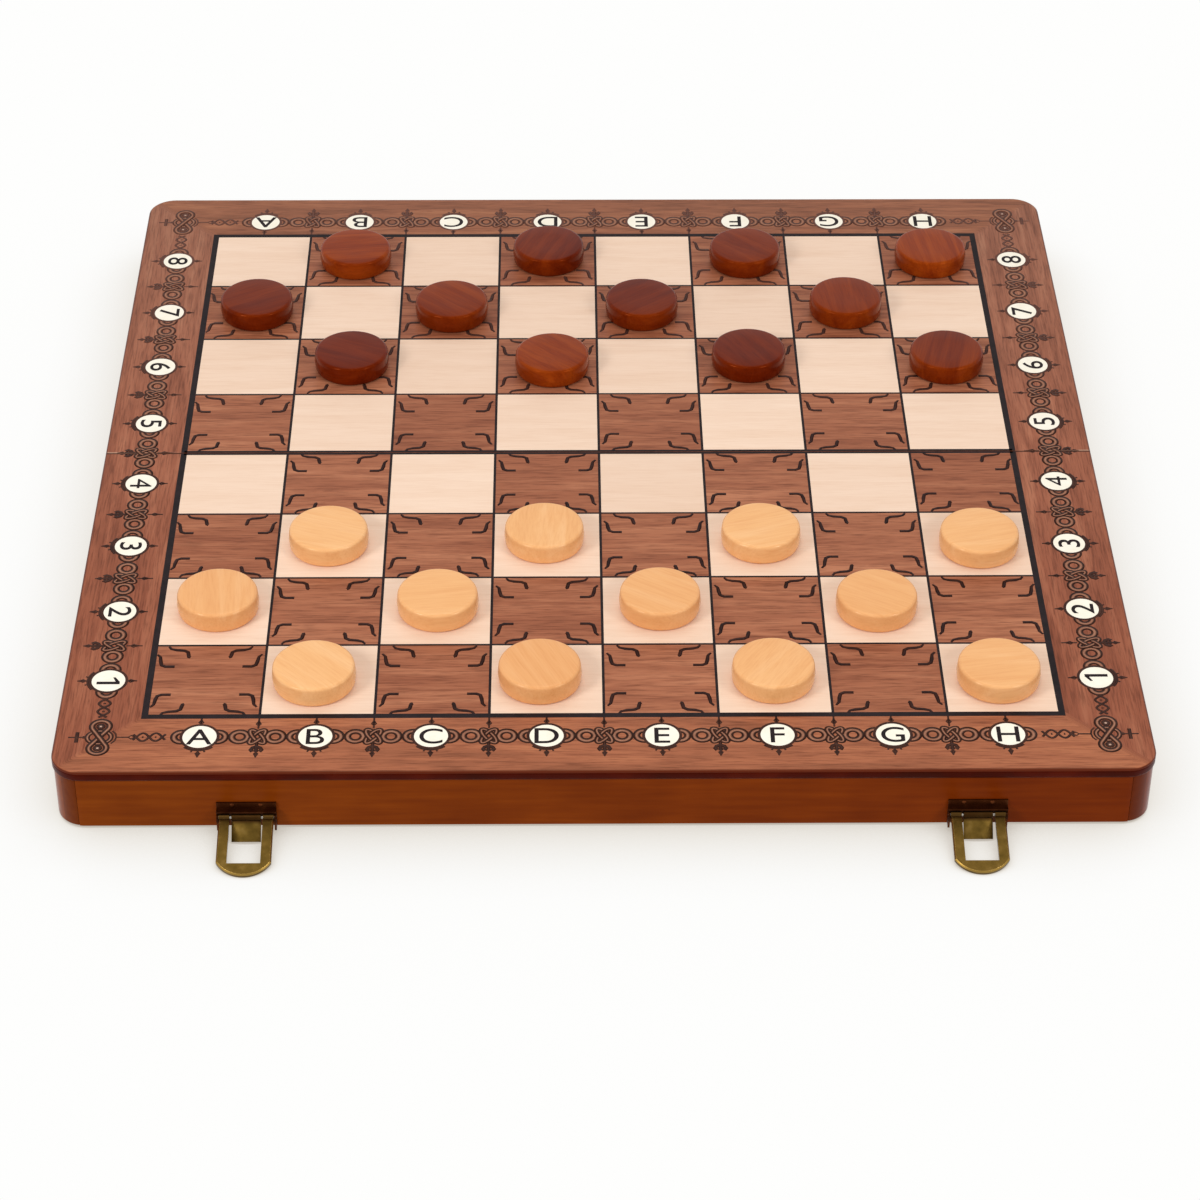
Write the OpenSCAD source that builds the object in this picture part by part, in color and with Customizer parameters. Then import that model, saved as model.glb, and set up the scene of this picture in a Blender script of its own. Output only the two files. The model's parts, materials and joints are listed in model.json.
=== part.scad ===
// Folding board box for chess and draughts, opened flat with the playing side up.
// X runs along the fold, Y from the near half (-) to the far half (+), Z up.
// The origin is the middle of the fold, on the hinge axis, in the plane of the rims.

/* [Board] */
// Width of the board along the fold
board_w = 390; // [360:1:430]
// Depth of the opened board, both halves together
board_d = 390; // [360:1:430]
// Height of one half, rim to playing surface
half_h = 25; // [20:0.5:40]
// Radius of the outer corners seen from above
corner_r = 11; // [4:0.5:20]
// Thickness of the plywood panel
panel_t = 3; // [2:0.5:5]
// Thickness of the printed face sheet on the panel
sheet_t = 1; // [0.6:0.1:2]
// Radius of the face sheet's rounded top edge
edge_r = 0.8; // [0.2:0.1:1.5]
// How far the panel stands out past the rails
panel_over = 0.5; // [0:0.1:1.5]
// Gap between the two halves at the fold
fold_gap = 0.4; // [0.2:0.1:0.8]

/* [Playing field] */
// Side of one square
square = 41; // [36:0.5:43]

/* [Rails] */
// Thickness of the rails round each half
rail_t = 8.5; // [7.5:0.5:12]
// Thickness of the backgammon lining inside
lining_t = 0.8; // [0.4:0.1:2]
// Clearance of the lining to the rails
lining_gap = 0.2; // [0.1:0.1:1]

/* [Butt hinges] */
// Distance of each hinge's middle from the board's end
hinge_inset = 83; // [60:1:110]
// Length of a hinge along the fold
hinge_w = 26; // [20:1:36]
// Width of one leaf from the hinge axis
leaf_w = 7; // [6:0.25:7.25]
// Thickness of a leaf
leaf_t = 0.8; // [0.6:0.1:1.2]
// Depth of a leaf's face below the rim
leaf_sink = 0.05; // [0.03:0.01:0.15]
// Outer radius of the hinge's knuckles
barrel_r = 1.1; // [0.95:0.05:1.4]
// Radius of the hinge pin
hinge_pin_r = 0.5; // [0.4:0.05:0.6]
// Shank radius of a hinge screw
screw_r = 0.6; // [0.4:0.05:0.8]
// Head radius of a hinge screw
screw_head_r = 1.3; // [1:0.1:1.6]
// Length of a hinge screw
screw_len = 7; // [5:0.5:10]

/* [Latches] */
// Distance of the left latch from the board's left end
latch_inset_left = 68.5; // [45:0.5:100]
// Distance of the right latch from the board's right end
latch_inset_right = 63; // [45:0.5:100]
// Height of the latch pin above the rim
pin_z = 6; // [5.5:0.25:8]
// Distance of the latch pin from the rail
pin_out = 2.5; // [2.4:0.1:4]
// Radius of the latch pin
latch_pin_r = 0.6; // [0.4:0.05:0.8]
// Radius of the eyes and the tab's knuckle round the pin
eye_r = 1.5; // [1.2:0.05:1.6]
// Width of the swinging loop
loop_w = 19.4; // [16:0.2:24]
// Length of the loop from the pin to its tip
loop_len = 25; // [22:0.5:30]
// Rise of the loop's rounded end from its corners to its tip
loop_bow = 5.6; // [3:0.2:8]
// Thickness of the loop
loop_t = 1.6; // [1.2:0.1:2]
// Width of one arm of the loop
arm_w = 3.8; // [3:0.1:4.5]
// Bevel round the loop's outer edge
loop_bevel = 0.5; // [0.2:0.1:0.7]
// Length of the loop's window from the pin
window_len = 20; // [18:0.5:21]
// Length of the tab from the pin to its tip
tab_len = 8.8; // [8:0.2:10]
// Thickness of the tab
tab_t = 0.8; // [0.6:0.1:1.2]
// Rise of the tab's curved face from its sides to its middle
tab_crown = 0.5; // [0.2:0.1:0.8]
// Gap between the tab and each arm
tab_gap = 0.7; // [0.3:0.1:1]
// Sheet thickness of the latch base and the catch
brass_t = 0.7; // [0.5:0.05:0.9]
// Height of the base plate above its hood
base_tab = 2.4; // [2:0.1:4]
// Height of the base plate's lower edge above the rim
base_low = 0.8; // [0.4:0.1:2]
// Distance of a latch nail from the latch's middle
nail_x = 5; // [3:0.5:7]
// Length of a latch nail
nail_len = 6; // [4:0.5:7]
// Shank radius of a latch nail
nail_r = 0.45; // [0.3:0.05:0.6]
// Radius of a latch nail's domed head
nail_head_r = 0.9; // [0.7:0.05:1]
// Height of a latch nail's domed head
nail_dome = 0.5; // [0.3:0.05:0.7]
// Height of the catch's lug
lug_h = 3.7; // [3:0.1:4]
// Play of the lug in the loop's window, to each side and above
lug_play = 0.4; // [0.2:0.05:0.6]
// How far the lug stands out past the loop
lug_proud = 0.8; // [0.4:0.1:1.5]
// Height of the catch plate's lower edge above the rim
catch_low = 3.4; // [2.5:0.1:4]
// Distance of a catch nail from the catch's middle
catch_nail_x = 3.6; // [2.5:0.1:4]

/* [Draughtsmen] */
// Diameter of a draughtsman
man_d = 30.4; // [24:0.2:34]
// Thickness of a draughtsman
man_t = 8.2; // [6:0.1:10]
// Radius of its rounded rims
man_edge_r = 1.3; // [0.6:0.1:2]
// Swell of its side from a rim to the middle
man_belly = 0.3; // [0.1:0.05:0.6]

/* [Clearances] */
// Running clearance of a pin in its eye, on the radius
run_gap = 0.06; // [0.03:0.01:0.1]
// Clearance round the moving brass pieces
side_gap = 0.15; // [0.1:0.05:0.4]
// Clearance of the notch round the hinge's knuckles
notch_gap = 0.3; // [0.2:0.05:0.5]
// Thickness of the print that the draughtsmen stand on
print_t = 0.05; // [0:0.01:0.1]

/* [Hidden] */
$fn = 64;
cols = ["a", "b", "c", "d", "e", "f", "g", "h"];
// How far each draughtsman stands off the middle of its square, right and back, row by row from the left
light_rows = [1, 2, 3];
light_shift = [
    [[-2, -1], [-2.5, -0.5], [0, -0.5], [-0.5, -1]],
    [[1, 1.5], [0.5, 1], [1, 1.5], [-0.5, 0]],
    [[-1, 0.5], [-1, 2], [-0.5, 1.5], [0.5, -2]]
];
dark_rows = [6, 7, 8];
dark_shift = [
    [[2, 0], [2, -2], [0.5, 1], [-0.5, -0.5]],
    [[1.5, -0.5], [1, -2], [-1.5, -1], [2, 0]],
    [[0, -1.5], [0.5, 1], [2.5, -1], [0, -1.5]]
];
rail_h = half_h - panel_t - sheet_t;
rail_x = board_w / 2 - panel_over;
rail_y = board_d / 2 - panel_over;
fold_y = fold_gap / 2;
inner_x = rail_x - rail_t;
inner_y = rail_y - rail_t;
spine_y = fold_y + rail_t;
hinge_x = board_w / 2 - hinge_inset;
knuckle_w = hinge_w / 3;
knuckle_gap = 0.1;
table_z = -barrel_r;
latch_x_left = latch_inset_left - board_w / 2;
latch_x_right = board_w / 2 - latch_inset_right;
latch_xs = [latch_x_left, latch_x_right];
eye_half = loop_w / 2;
arm_in = eye_half - arm_w;
bow_r = (loop_bow * loop_bow + eye_half * eye_half) / (2 * loop_bow);
base_half = eye_half + side_gap + brass_t;
hood_gap = 0.4;
hood_z = pin_z + eye_r + hood_gap;
base_top = hood_z + brass_t + base_tab;
nail_z = hood_z + brass_t + base_tab / 2;
cheek_r = 1.2;
cheek_out = pin_out + cheek_r;
hood_out = pin_out + hood_gap;
tab_half = arm_in - tab_gap;
// At rest the loop and the tab lie with their tips on the table
loop_rest = asin((pin_z - table_z - loop_t / 2) / loop_len);
// Half of the tab's greatest thickness, so that the tab lies evenly about the pin's middle
tab_mid = (tab_t + tab_crown) / 2;
tab_rest = asin((pin_z - table_z - tab_mid) / tab_len);
// With the box shut the loop hangs straight down, and its window takes the catch's lug
lug_hi = window_len - pin_z - lug_play;
lug_lo = lug_hi - lug_h;
lug_half = arm_in - lug_play;
lug_out = pin_out + loop_t / 2 + lug_proud;
catch_border = 1.4;
catch_half = arm_in + catch_border;
catch_hi = lug_hi + catch_border;
catch_nail_z = (catch_low + lug_lo) / 2;
leaf_screw_inset = 4;
leaf_screw_x = hinge_w / 2 - leaf_screw_inset;
leaf_screw_y = leaf_w * 0.6;
cut = 1;

// Middle of a square: file 0 to 7 from the left, row 1 to 8 from the front
function home(c, r) = [(c - 3.5) * square, (r - 4.5) * square + (r > 4 ? fold_y : -fold_y)];
// Every second square of the given rows, each with its draughtsman's name and place
function set_out(name, rows, first, shift) = [
    for (i = [0:len(rows) - 1]) for (k = [0:3])
        let (c = 2 * k + (rows[i] + first) % 2)
        [str(name, cols[c], rows[i]), home(c, rows[i]) + shift[i][k]]
];
light_men = set_out("light_man_", light_rows, 0, light_shift);
dark_men = set_out("dark_man_", dark_rows, 1, dark_shift);

stain = "#7a3b12";
dark_stain = "#3f1508";
face = "#9a5f48";
brass = "#6b5426";

// ---------- the two halves ----------

// Quarter round from the side of an edge to its top
function edge_points(reach, t, r, steps = 6) = concat(
    [[0, 0], [reach, 0]],
    [for (i = [0:steps]) [reach - r + r * cos(90 * i / steps), t - r + r * sin(90 * i / steps)]],
    [[0, t]]
);

// Plan outline of the near half, with its two outer corners round
module half_outline(inset) {
    r = corner_r - inset;
    x = board_w / 2 - inset;
    y = board_d / 2 - inset;
    translate([-x + r, -y]) square([2 * (x - r), y - fold_y]);
    translate([-x, -y + r]) square([2 * x, y - r - fold_y]);
    for (s = [-1, 1]) translate([s * (x - r), -y + r]) circle(r);
}

module half_prism(inset, z0, z1) {
    translate([0, 0, z0]) linear_extrude(z1 - z0) half_outline(inset);
}

// The face sheet: a flat middle with the same rounded edge run round three sides
module face_sheet() {
    x = board_w / 2;
    y = board_d / 2;
    translate([0, 0, half_h - sheet_t]) {
        translate([-x + corner_r, -y + corner_r, 0])
            cube([2 * (x - corner_r), y - corner_r - fold_y, sheet_t]);
        translate([x - corner_r, -y + corner_r, 0]) rotate([90, 0, 270])
            linear_extrude(2 * (x - corner_r)) polygon(edge_points(corner_r, sheet_t, edge_r));
        for (s = [0, 1]) mirror([s, 0, 0]) {
            translate([x - corner_r, -fold_y, 0]) rotate([90, 0, 0])
                linear_extrude(y - corner_r - fold_y) polygon(edge_points(corner_r, sheet_t, edge_r));
            translate([x - corner_r, -y + corner_r, 0]) rotate([0, 0, 270])
                rotate_extrude(angle = 90) polygon(edge_points(corner_r, sheet_t, edge_r));
        }
    }
}

module panel() {
    half_prism(0, rail_h, rail_h + panel_t);
}

module lining() {
    translate([-inner_x + lining_gap, -inner_y + lining_gap, rail_h - lining_t])
        cube([2 * (inner_x - lining_gap), inner_y - spine_y - 2 * lining_gap, lining_t]);
}

module end_rail() {
    difference() {
        intersection() {
            half_prism(panel_over, 0, rail_h);
            translate([-inner_x, -rail_y - cut, -cut]) cube([2 * inner_x, rail_t + cut, rail_h + 2 * cut]);
        }
        children();
    }
}

module side_rail() {
    intersection() {
        half_prism(panel_over, 0, rail_h);
        translate([inner_x, -rail_y - cut, -cut]) cube([rail_t + cut, rail_y + cut, rail_h + 2 * cut]);
    }
}

module spine_rail() {
    difference() {
        translate([-inner_x, -spine_y, 0]) cube([2 * inner_x, rail_t, rail_h]);
        at_hinges() {
            leaf_mortise();
            leaf_screw_places() screw_hole();
        }
    }
}

// The far half is the near half turned round, so that its outer rail is at the back
module turned() {
    rotate([0, 0, 180]) children();
}

// ---------- butt hinges ----------

// The two hinges stand alike on either side of the board's middle
module at_hinges() {
    for (s = [-1, 1]) translate([s * hinge_x, 0, 0]) children();
}

module leaf_mortise() {
    translate([-hinge_w / 2 - side_gap, -leaf_w - side_gap, -cut])
        cube([hinge_w + 2 * side_gap, leaf_w + cut, leaf_sink + leaf_t + cut]);
    translate([-hinge_w / 2 - side_gap, 0, 0]) rotate([0, 90, 0])
        cylinder(r = barrel_r + notch_gap, h = hinge_w + 2 * side_gap);
}

module leaf_screw_places() {
    for (s = [-1, 1]) translate([s * leaf_screw_x, -leaf_screw_y, 0]) children();
}

module screw_hole() {
    translate([0, 0, -cut]) cylinder(r = screw_r, h = screw_len + leaf_sink + cut);
}

module hinge_screw() {
    translate([0, 0, leaf_sink]) {
        cylinder(r1 = screw_head_r, r2 = screw_r, h = leaf_t);
        translate([0, 0, leaf_t]) cylinder(r = screw_r, h = screw_len - leaf_t);
    }
}

// Leaf on the near side, with the knuckles in the given thirds of the hinge
module leaf(own, other) {
    difference() {
        union() {
            translate([-hinge_w / 2, -leaf_w, leaf_sink]) cube([hinge_w, leaf_w, leaf_t]);
            for (k = own) translate([(k - 0.5) * knuckle_w + knuckle_gap / 2, 0, 0]) rotate([0, 90, 0])
                cylinder(r = barrel_r, h = knuckle_w - knuckle_gap);
        }
        for (k = other)
            translate([(k - 0.5) * knuckle_w - knuckle_gap / 2, -barrel_r - notch_gap, -2 * barrel_r])
                cube([knuckle_w + knuckle_gap, 4 * barrel_r, 4 * barrel_r]);
        translate([-hinge_w, 0, 0]) rotate([0, 90, 0])
            cylinder(r = hinge_pin_r + run_gap, h = 2 * hinge_w);
        leaf_screw_places() translate([0, 0, leaf_sink]) {
            cylinder(r1 = screw_head_r, r2 = screw_r, h = leaf_t);
            translate([0, 0, -cut]) cylinder(r = screw_r, h = leaf_t + 2 * cut);
        }
    }
}

module hinge_pin() {
    translate([-hinge_w / 2, 0, 0]) rotate([0, 90, 0]) cylinder(r = hinge_pin_r, h = hinge_w);
}

// ---------- latches ----------

// Local frame of a latch: origin on the rail's face at the rim, -Y out of the rail
module at_latch(x) {
    translate([x, -rail_y, 0]) children();
}

module pin_line(r, half) {
    translate([-half, -pin_out, pin_z]) rotate([0, 90, 0]) cylinder(r = r, h = 2 * half);
}

module latch_nail_places() {
    for (s = [-1, 1]) translate([s * nail_x, 0, nail_z]) rotate([90, 0, 0]) children();
}

// A nail's shank and its domed head, which is the cap of a ball
module nail() {
    ball_r = (nail_head_r * nail_head_r + nail_dome * nail_dome) / (2 * nail_dome);
    translate([0, 0, -nail_len]) cylinder(r = nail_r, h = nail_len + brass_t);
    translate([0, 0, brass_t]) rotate_extrude() intersection() {
        translate([0, nail_dome - ball_r]) circle(ball_r);
        square([nail_head_r, nail_dome]);
    }
}

module nail_hole() {
    translate([0, 0, -nail_len]) cylinder(r = nail_r, h = nail_len + brass_t + cut);
}

// Back plate with two cheeks for the pin and a hood over the loop's eyes
module latch_base() {
    difference() {
        union() {
            translate([-base_half, -brass_t, base_low])
                cube([2 * base_half, brass_t, base_top - base_low]);
            translate([-base_half, -hood_out, hood_z]) cube([2 * base_half, hood_out, brass_t]);
            for (s = [0, 1]) mirror([s, 0, 0]) translate([base_half - brass_t, 0, 0]) {
                translate([0, -pin_out, base_low]) cube([brass_t, pin_out, hood_z - base_low + brass_t]);
                translate([0, -pin_out, pin_z]) rotate([0, 90, 0])
                    cylinder(r = cheek_out - pin_out, h = brass_t);
                translate([0, -cheek_out, base_low]) cube([brass_t, cheek_out, pin_z - base_low]);
            }
        }
        pin_line(latch_pin_r, base_half + cut);
        latch_nail_places() nail_hole();
    }
}

// Loop blank: a round end and straight sides, with their upper edges bevelled
module loop_blank() {
    top = loop_t / 2;
    shoulder = top - loop_bevel;
    intersection() {
        rotate([90, 0, 0]) linear_extrude(loop_len) polygon([
            [-eye_half, -top], [eye_half, -top], [eye_half, shoulder],
            [eye_half - loop_bevel, top], [loop_bevel - eye_half, top], [-eye_half, shoulder]
        ]);
        union() {
            translate([0, bow_r - loop_len, 0]) rotate_extrude() polygon([
                [0, -top], [bow_r, -top], [bow_r, shoulder], [bow_r - loop_bevel, top], [0, top]
            ]);
            translate([-eye_half, loop_bow - loop_len, -top]) cube([loop_w, loop_len - loop_bow, loop_t]);
        }
    }
}

// Swinging loop, drawn hanging straight out from the pin and then dropped to the table
module latch_loop() {
    translate([0, -pin_out, pin_z]) rotate([loop_rest, 0, 0]) difference() {
        union() {
            loop_blank();
            for (s = [-1, 1]) translate([s * (eye_half - arm_w / 2) - arm_w / 2, 0, 0])
                rotate([0, 90, 0]) cylinder(r = eye_r, h = arm_w);
        }
        translate([-arm_in, -window_len, -loop_t]) cube([2 * arm_in, window_len + 2 * eye_r, 2 * loop_t]);
        translate([-loop_w, 0, 0]) rotate([0, 90, 0]) cylinder(r = latch_pin_r + run_gap, h = 2 * loop_w);
    }
}

// Section of the tab: a flat back and a shallow arch from side to side
function tab_section(steps = 8) = concat(
    [[-tab_half, -tab_mid], [tab_half, -tab_mid]],
    [for (i = [0:steps]) let (u = 1 - 2 * i / steps) [tab_half * u, tab_mid - tab_crown * u * u]]
);

// Short tab between the loop's arms, on the same pin, with a curved face
module latch_tab() {
    translate([0, -pin_out, pin_z]) rotate([tab_rest, 0, 0]) difference() {
        union() {
            rotate([90, 0, 0]) linear_extrude(tab_len) polygon(tab_section());
            translate([-tab_half, 0, 0]) rotate([0, 90, 0]) cylinder(r = eye_r, h = 2 * tab_half);
        }
        translate([-loop_w, 0, 0]) rotate([0, 90, 0]) cylinder(r = latch_pin_r + run_gap, h = 2 * loop_w);
    }
}

// Catch on the far rail: a plate with a lug that the loop's window drops over
module catch() {
    difference() {
        union() {
            translate([-catch_half, -brass_t, catch_low])
                cube([2 * catch_half, brass_t, catch_hi - catch_low]);
            translate([-lug_half, -lug_out, lug_lo]) cube([2 * lug_half, lug_out, lug_hi - lug_lo]);
        }
        catch_nail_places() nail_hole();
    }
}

module catch_nail_places() {
    for (s = [-1, 1]) translate([s * catch_nail_x, 0, catch_nail_z]) rotate([90, 0, 0]) children();
}

// A catch stands opposite its latch when the far half is folded under the near one
module at_catch(x) {
    translate([x, rail_y, 0]) mirror([0, 1, 0]) children();
}

// ---------- draughtsmen ----------

// Turned profile: flat faces, round rims and a faintly swelling side
function man_profile(steps = 5) = let(r = man_d / 2 - man_belly, e = man_edge_r) concat(
    [[0, 0]],
    [for (i = [0:steps]) [r - e + e * sin(90 * i / steps), e - e * cos(90 * i / steps)]],
    [[man_d / 2, man_t / 2]],
    [for (i = [0:steps]) [r - e + e * cos(90 * i / steps), man_t - e + e * sin(90 * i / steps)]],
    [[0, man_t]]
);

module man(place) {
    translate([place[0], place[1], half_h + print_t]) rotate_extrude() polygon(man_profile());
}

// ---------- one module per sub-part ----------

module near_face_sheet() { color(face) face_sheet(); }
module near_panel() { color(dark_stain) panel(); }
module near_front_rail() {
    color(stain) end_rail() for (x = latch_xs) at_latch(x) latch_nail_places() nail_hole();
}
module near_left_rail() { color(stain) mirror([1, 0, 0]) side_rail(); }
module near_right_rail() { color(stain) side_rail(); }
module near_spine_rail() { color(stain) spine_rail(); }
module near_lining() { color("#c9a77c") lining(); }
module far_face_sheet() { color(face) turned() face_sheet(); }
module far_panel() { color(dark_stain) turned() panel(); }
module far_rear_rail() {
    color(stain) difference() {
        turned() end_rail();
        for (x = latch_xs) at_catch(x) catch_nail_places() nail_hole();
    }
}
module far_left_rail() { color(stain) turned() side_rail(); }
module far_right_rail() { color(stain) turned() mirror([1, 0, 0]) side_rail(); }
module far_spine_rail() { color(stain) turned() spine_rail(); }
module far_lining() { color("#c9a77c") turned() lining(); }
module hinge_leaves_near() { color(brass) at_hinges() leaf([-1, 1], [0]); }
module hinge_leaves_far() { color(brass) turned() at_hinges() leaf([0], [-1, 1]); }
module hinge_pins() { color("silver") at_hinges() hinge_pin(); }
module hinge_screws_near() { color("silver") at_hinges() leaf_screw_places() hinge_screw(); }
module hinge_screws_far() { turned() hinge_screws_near(); }
module latch_base_left() { color(brass) at_latch(latch_x_left) latch_base(); }
module latch_base_right() { color(brass) at_latch(latch_x_right) latch_base(); }
module latch_pins() { color("silver") for (x = latch_xs) at_latch(x) pin_line(latch_pin_r, base_half); }
module latch_nails() { color(brass) for (x = latch_xs) at_latch(x) latch_nail_places() nail(); }
module latch_loop_left() { color(brass) at_latch(latch_x_left) latch_loop(); }
module latch_loop_right() { color(brass) at_latch(latch_x_right) latch_loop(); }
module latch_tab_left() { color(brass) at_latch(latch_x_left) latch_tab(); }
module latch_tab_right() { color(brass) at_latch(latch_x_right) latch_tab(); }
module catch_left() { color(brass) at_catch(latch_x_left) catch(); }
module catch_right() { color(brass) at_catch(latch_x_right) catch(); }
module catch_nails() { color(brass) for (x = latch_xs) at_catch(x) catch_nail_places() nail(); }
module light_man(place) { color("#e9b77a") man(place); }
module dark_man(place) { color("#7c2d16") man(place); }

near_face_sheet();
near_panel();
near_front_rail();
near_left_rail();
near_right_rail();
near_spine_rail();
near_lining();
far_face_sheet();
far_panel();
far_rear_rail();
far_left_rail();
far_right_rail();
far_spine_rail();
far_lining();
hinge_leaves_near();
hinge_leaves_far();
hinge_pins();
hinge_screws_near();
hinge_screws_far();
latch_base_left();
latch_base_right();
latch_pins();
latch_nails();
latch_loop_left();
latch_loop_right();
latch_tab_left();
latch_tab_right();
catch_left();
catch_right();
catch_nails();
for (m = light_men) light_man(m[1]);
for (m = dark_men) dark_man(m[1]);
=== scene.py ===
# %% [markdown]
# # Folding board box, opened for a game of draughts
# The object is a wooden box in two halves. Opened flat, its printed lids make the playing board.
# Underneath, each half is a tray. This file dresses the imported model: it keeps every part where the
# model has it, adds the print, the turned men and the finish of each surface, and lights it softly.
# Sizes are in metres, and MM turns a size in millimetres into them.

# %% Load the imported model
import json
import math
import random

import bpy
from mathutils import Matrix, Vector

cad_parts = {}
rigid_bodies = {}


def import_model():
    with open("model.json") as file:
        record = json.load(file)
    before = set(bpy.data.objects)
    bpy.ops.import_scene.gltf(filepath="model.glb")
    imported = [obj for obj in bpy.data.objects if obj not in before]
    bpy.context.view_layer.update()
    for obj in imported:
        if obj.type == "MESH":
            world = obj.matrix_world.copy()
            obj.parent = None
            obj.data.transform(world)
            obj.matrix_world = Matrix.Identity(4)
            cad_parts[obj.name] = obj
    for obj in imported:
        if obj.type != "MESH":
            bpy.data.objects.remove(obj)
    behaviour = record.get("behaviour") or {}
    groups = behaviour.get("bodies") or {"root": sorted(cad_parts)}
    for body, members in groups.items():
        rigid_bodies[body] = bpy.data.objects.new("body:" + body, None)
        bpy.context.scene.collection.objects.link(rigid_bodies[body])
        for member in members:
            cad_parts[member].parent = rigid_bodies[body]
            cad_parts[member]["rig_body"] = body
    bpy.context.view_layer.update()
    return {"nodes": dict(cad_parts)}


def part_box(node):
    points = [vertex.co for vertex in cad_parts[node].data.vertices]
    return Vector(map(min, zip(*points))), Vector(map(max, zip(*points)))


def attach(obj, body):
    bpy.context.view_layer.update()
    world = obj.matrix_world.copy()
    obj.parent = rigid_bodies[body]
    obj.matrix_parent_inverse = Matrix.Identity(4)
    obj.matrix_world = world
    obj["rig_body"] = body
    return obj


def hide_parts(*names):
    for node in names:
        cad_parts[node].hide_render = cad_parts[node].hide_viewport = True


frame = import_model()
MM = 0.001
bpy.ops.object.select_all(action="DESELECT")

# %% [markdown]
# ## Camera
# A long lens looks down on the board from the front, a little left of its middle. The place and the
# turn were worked out from the board's own grid of squares, once a square's size is known.

# %% The camera
EYE = Vector((-15.7, -1103.7, 795.5)) * MM
LOOK_DOWN = math.radians(37.411)
TURN_RIGHT = math.radians(0.855)
LEAN = math.radians(0.340)
LENS = 101.9

camera_data = bpy.data.cameras.new("camera")
camera_data.lens = LENS
camera_data.sensor_width = 36
camera = bpy.data.objects.new("camera", camera_data)
bpy.context.scene.collection.objects.link(camera)
turn = Matrix.Rotation(-TURN_RIGHT, 4, "Z")
tilt = Matrix.Rotation(math.pi / 2 - LOOK_DOWN, 4, "X")
lean = Matrix.Rotation(LEAN, 4, "Z")
camera.matrix_world = Matrix.Translation(EYE) @ turn @ tilt @ lean
bpy.context.scene.camera = camera
bpy.context.scene.view_settings.view_transform = "Standard"
print("camera at", [round(v, 4) for v in EYE])

# %% [markdown]
# ## Sizes taken from the model
# The print has to sit on the lids, so its sizes come from the model's own boxes. Only the square and
# the label lines, which the model doesn't hold, are given here.

# %% Sizes of the print
SQUARE = 41 * MM
sheet_low, sheet_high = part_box("near_face_sheet")
FOLD = -sheet_high.y
TOP = sheet_high.z
HALF_W = sheet_high.x
HALF_D = -sheet_low.y
FIELD = 4 * SQUARE
FRONT_LINE = FIELD + FOLD + 11.4 * MM
SIDE_LINE = FIELD + 15 * MM
print("lid", round(HALF_W / MM, 1), "by", round(HALF_D / MM, 1), "mm, top at", round(TOP / MM, 2))

# %% [markdown]
# ## Small helpers
# Materials are built from nodes, and one function adds a node with its settings and its links.
# Colours are written as they look on a screen, in hex, and turned into the linear values that the
# renderer wants.

# %% Colours and nodes
def colour(code):
    """Linear colour of an sRGB hex code."""
    channels = [int(code[i:i + 2], 16) / 255 for i in (1, 3, 5)]
    linear = [c / 12.92 if c <= 0.04045 else ((c + 0.055) / 1.055) ** 2.4 for c in channels]
    return (*linear, 1)


def add_node(tree, kind, inputs=None, **settings):
    """Adds a shader node. An input has a name or number, and is a value or another node's output."""
    made = tree.nodes.new("ShaderNode" + kind)
    for name, value in settings.items():
        setattr(made, name, value)
    for key, value in (inputs or {}).items():
        if isinstance(value, bpy.types.NodeSocket):
            tree.links.new(value, made.inputs[key])
        else:
            made.inputs[key].default_value = value
    return made


def new_material(name, **sockets):
    """A material with its shader, whose constant sockets are set by name with _ for a space."""
    made = bpy.data.materials.new(name)
    made.use_nodes = True
    shader = made.node_tree.nodes["Principled BSDF"]
    for key, value in sockets.items():
        shader.inputs[key.replace("_", " ")].default_value = value
    return made, made.node_tree, shader


def lacquered(name, roughness, shine, tint="#ffffff"):
    """A material under a coat whose shine is weak and tinted."""
    return new_material(name, Roughness=roughness, Specular_IOR_Level=shine, Specular_Tint=colour(tint))


def painted(made, shader, base):
    """Gives a material its colour and hands it back."""
    made.node_tree.links.new(base, shader.inputs["Base Color"])
    return made


def math_of(tree, operation, a, b=0.0):
    """Output of one sum on two values."""
    return add_node(tree, "Math", {0: a, 1: b}, operation=operation).outputs[0]


def mix_of(tree, factor, a, b, blend="MIX"):
    """Output of two colours mixed by a factor."""
    inputs = {0: factor, 6: a, 7: b}
    return add_node(tree, "Mix", inputs, data_type="RGBA", blend_type=blend).outputs[2]


def ramp_of(tree, factor, stops):
    """Output of a colour ramp through (place, hex code) stops."""
    made = add_node(tree, "ValToRGB", {0: factor})
    marks = made.color_ramp.elements
    while len(marks) < len(stops):
        marks.new(0.5)
    for mark, (place, code) in zip(marks, stops):
        mark.position = place
        mark.color = colour(code)
    return made.outputs[0]


def tinted(tree, base, tint):
    """Output of a colour multiplied by another."""
    return mix_of(tree, 1.0, base, tint, "MULTIPLY")


def range_of(tree, value, start, end, low=0.0, high=1.0):
    """Output that goes from low to high while a value goes from start to end."""
    return add_node(tree, "MapRange", {0: value, 1: start, 2: end, 3: low, 4: high}).outputs[0]


def vector_of(tree, operation, a, b=(0, 0, 0)):
    """Output of one sum on two vectors."""
    return add_node(tree, "VectorMath", {0: a, 1: b}, operation=operation).outputs[0]


def parts_of(tree, vector):
    """Outputs X, Y and Z of a vector."""
    return add_node(tree, "SeparateXYZ", {0: vector}).outputs


def object_place(tree):
    """Output that says where in its piece a point lies."""
    return add_node(tree, "TexCoord").outputs["Object"]


def stretched(tree, place, scale, shift=(0, 0, 0)):
    """Output of a place scaled along each axis and moved."""
    inputs = {"Vector": place, "Location": shift, "Scale": scale}
    return add_node(tree, "Mapping", inputs).outputs[0]


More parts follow.
